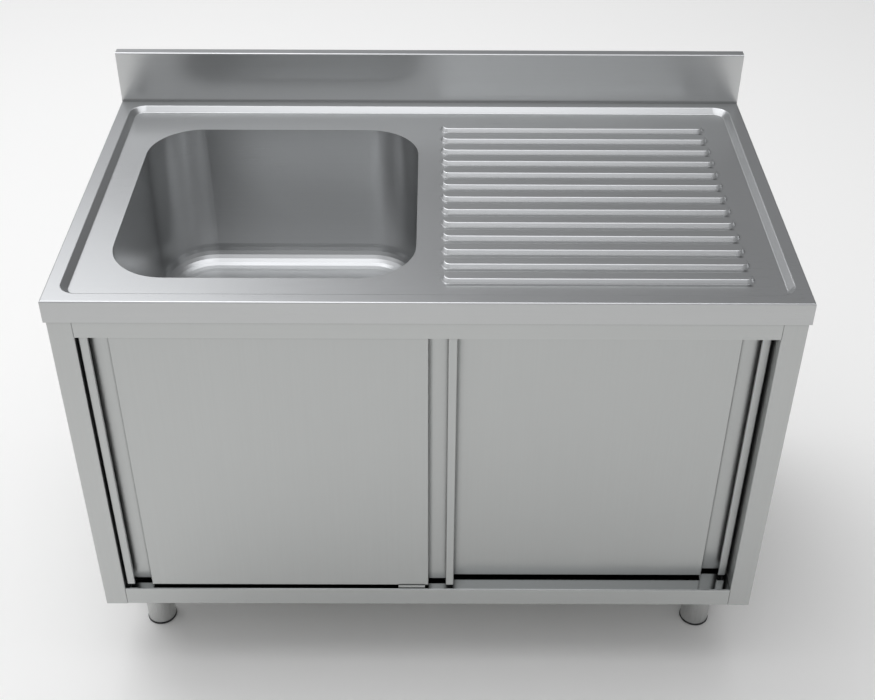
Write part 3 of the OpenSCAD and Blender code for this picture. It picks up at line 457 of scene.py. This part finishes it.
# The doors get painted shade in the hollows behind their pulls.
door_steel = brushed_steel("door steel", (0.495, 0.505, 0.499), "Z", 0.32,
                           reach=0.008, hollow=0.028)
# Lighter than the cabinet steel: painted light against the apron's shade on the header.
rail_steel_lightened = brushed_steel("rail steel", (0.53, 0.54, 0.533), "X", 0.34)
shelf_steel = brushed_steel("shelf steel", (0.49, 0.50, 0.495), "X", 0.10)
inner_steel = brushed_steel("inner steel", (0.5, 0.505, 0.51), "X", 0.45)
leg_steel = brushed_steel("leg steel", (0.53, 0.535, 0.53), "Z", 0.28)
fitting_steel = brushed_steel("fitting steel", (0.6, 0.6, 0.6), "Z", 0.22)
track_aluminium = brushed_steel("track aluminium", (0.72, 0.725, 0.73), "X", 0.33)
print("finishes made so far:", [m.name for m in bpy.data.materials if " " in m.name])

# %% [markdown]
# ## Plastic and rubber
# The feet, the plugs and the waste nut are moulded black plastic, the pads and stops are
# rubber, and the rollers are pale nylon. Moulded parts have a fine spark-eroded texture and
# rubber picks up dust, so each gets a small noise in its bump and its roughness.

# %% Moulded materials
DUST_SIZE, DUST_SWING = 0.02, 0.08
DUST_GAIN, DUST_LIFT = 1.25, 0.004
PIT_STRENGTH, PIT_DEPTH = 0.25, 0.0002

def moulded(name, tone, roughness, pit):
    """Pit is the size of the moulding texture, in metres."""
    w = Wiring(name)
    place = w.node("ShaderNodeTexCoord").outputs["Object"]
    pits = grain_noise(w, place, pit, pit, "X", 3.0)
    dust = grain_noise(w, place, DUST_SIZE, DUST_SIZE, "X", 4.0)
    w.set("Roughness", spread(w, dust, roughness - DUST_SWING, roughness + DUST_SWING))
    dusty = spread(w, dust, 0.0, 1.0)
    w.set("Base Color", two_tones(w, dusty, shade(tone, 1.0), shade(tone, DUST_GAIN, DUST_LIFT)))
    bump = w.node("ShaderNodeBump", Height=pits, Strength=PIT_STRENGTH, Distance=PIT_DEPTH)
    w.set("Normal", bump.outputs["Normal"])
    return w.material

black_plastic = moulded("black plastic", (0.012, 0.012, 0.013), 0.42, 0.0009)
black_rubber = moulded("black rubber", (0.018, 0.018, 0.018), 0.7, 0.0014)
roller_nylon = moulded("roller nylon", (0.62, 0.62, 0.58), 0.38, 0.001)
print("moulded:", [m.name for m in (black_plastic, black_rubber, roller_nylon)])

# %% [markdown]
# ## Dressing the built pieces
# Each built piece takes its finish by assigning a material to its slots. The record of the
# unit says which slot a piece belongs to, so one table from slot to material dresses them
# all. Rails and the shelf are folded from sheet whose grain runs along them, so they are
# named apart from the doors and the side panels, whose grain stands upright. The rail steel
# is also made a little lighter than the cabinet steel, as painted light against the shade
# that the apron casts on the header rail. The shelf is hardly touched after rolling and
# keeps a bright mill finish. The bowl is drawn and polished round its walls, so its grain
# runs level on all of them.

# %% Dress the pieces
BY_SLOT = {
    "worktop_steel": worktop_steel, "bowl_steel": bowl_steel, "cabinet_steel": cabinet_steel,
    "door_steel": door_steel, "leg_steel": leg_steel, "inner_steel": inner_steel,
    "fitting_steel": fitting_steel, "track_aluminium": track_aluminium,
    "black_plastic": black_plastic, "black_rubber": black_rubber, "roller_nylon": roller_nylon,
}
GRAIN_ALONG = {"header_rail": rail_steel_lightened, "bottom_shelf": shelf_steel, "door_guide": rail_steel_lightened}

for part in frame["record"]["subparts"]:
    node = frame["nodes"][part["node"]]
    finish = GRAIN_ALONG.get(part["node"], BY_SLOT[part["material_slot"]])
    node.data.materials.clear()
    node.data.materials.append(finish)

# %% [markdown]
# ## Spot welds
# The back sheet hangs on the folded flanges of the side panels by a row of spot welds. Each
# weld leaves a shallow print of the round electrode, and a straw and blue ring where the heat
# spread. One print is turned from a short profile and repeated at an even pitch, as a welder
# does it. The turned mesh remembers how far each point lies from the middle of its print, so
# that a colour ramp can draw the heat ring without any picture.

# %% Turn one print and repeat it
PRINT_PROFILE = [(0.0, 0.03), (1.6, 0.02), (2.3, 0.05), (2.7, 0.13), (3.1, 0.12), (3.6, 0.04),
                 (5.5, 0.01)]
PRINT_SIDES = 28
MM = 0.001

def add_print(points, faces, reach, centre):
    """Adds one turned print, in mm, on a face that looks towards the back."""
    x, y, z = centre
    first = len(points)
    points.append((x, y + PRINT_PROFILE[0][1], z))
    reach.append(0.0)
    for radius, height in PRINT_PROFILE[1:]:
        for side in range(PRINT_SIDES):
            turn = 2 * math.pi * side / PRINT_SIDES
            points.append((x + radius * math.cos(turn), y + height, z + radius * math.sin(turn)))
            reach.append(radius)
    for side in range(PRINT_SIDES):
        after = (side + 1) % PRINT_SIDES
        faces.append((first, first + 1 + after, first + 1 + side))
        for ring in range(len(PRINT_PROFILE) - 2):
            inner = first + 1 + ring * PRINT_SIDES
            outer = inner + PRINT_SIDES
            faces.append((inner + side, inner + after, outer + after, outer + side))

def spot_welds(name, places):
    """One mesh with a print at each place, and the reach of each point in its print."""
    points, faces, reach = [], [], []
    for place in places:
        add_print(points, faces, reach, place)
    mesh = bpy.data.meshes.new(name)
    mesh.from_pydata([[c * MM for c in point] for point in points], [], faces)
    mesh.attributes.new("reach", "FLOAT", "POINT").data.foreach_set("value", reach)
    mesh.polygons.foreach_set("use_smooth", [True] * len(mesh.polygons))
    welds = bpy.data.objects.new(name, mesh)
    scene.collection.objects.link(welds)
    return welds

print("one print is", 2 * PRINT_PROFILE[-1][0], "mm wide")

# %% Place two rows of welds, in mm
WELD_PITCH = 75.0
LOWEST_WELD, WELDS_IN_ROW = 190, 9
FLANGE_EDGE = 566

_, side_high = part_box("left_side_panel")
flange_face = side_high[1] / MM
_, panel_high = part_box("rear_panel")
weld_x = (panel_high[0] / MM + FLANGE_EDGE) / 2
weld_places = [(x, flange_face, LOWEST_WELD + step * WELD_PITCH)
               for x in (-weld_x, weld_x) for step in range(WELDS_IN_ROW)]
back_welds = spot_welds("back_spot_welds", weld_places)
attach(back_welds, "cabinet")
print("spot welds in each row:", WELDS_IN_ROW, "at x =", round(weld_x, 1), "mm")

# %% [markdown]
# ## Heat tint
# Stainless steel takes a thin oxide where it was heated, which shows blue near the weld and
# straw further out. The ramp runs from the middle of a print to its rim by the reach that
# the mesh remembers, and a little noise makes each ring uneven. The tint is a colour of the
# metal itself, so it goes into the base colour and the surface stays metallic.

# %% Heat tint of the welds
HEAT_RINGS = [(0.46, (0.30, 0.33, 0.42)), (0.58, (0.42, 0.34, 0.26)), (0.74, (0.50, 0.46, 0.36))]
PRESSED_TONE, TINT_START, TINT_END = 0.9, 0.30, 0.98
WANDER_SIZE, WANDER_SWING = 0.004, 0.05
ROUGH_LOW, ROUGH_HIGH = 0.32, 0.44

def heat_tinted(name, tone):
    w = Wiring(name)
    place = w.node("ShaderNodeTexCoord").outputs["Object"]
    wander = grain_noise(w, place, WANDER_SIZE, WANDER_SIZE, "XY", 3.0)
    reach = w.node("ShaderNodeAttribute", {"attribute_name": "reach"}).outputs["Fac"]
    outward = spread(w, reach, 0.0, 1.0, 0.0, PRINT_PROFILE[-1][0])
    away = joined(w, outward, spread(w, wander, -WANDER_SWING, WANDER_SWING))
    ramp = w.node("ShaderNodeValToRGB", Fac=away)
    stops = ramp.color_ramp.elements
    stops[0].position, stops[0].color = TINT_START, shade(tone, PRESSED_TONE)
    stops[1].position, stops[1].color = TINT_END, shade(tone, 1.0)
    for position, tint in HEAT_RINGS:
        stops.new(position).color = shade(tint, 1.0)
    w.set("Base Color", ramp.outputs["Color"])
    w.set("Roughness", spread(w, wander, ROUGH_LOW, ROUGH_HIGH))
    w.set("Metallic", 1.0)
    return w.material

back_welds.data.materials.append(heat_tinted("heat tinted steel", (0.51, 0.519, 0.513)))
print("weld prints reach", max(height for _, height in PRINT_PROFILE), "mm out of the flange")

# %% [markdown]
# ## Compare the size
# The finishes must not change the unit's size, so the box of what is shown is compared with
# the box of what was built, and how far its top corner grew is printed.

# %% Compare the two boxes
import json

shown_low, shown_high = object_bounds()
grown = [round((after - before) * 1000, 2) for before, after in zip(built_high, shown_high)]
print("grew by", grown, "mm at the top corner")
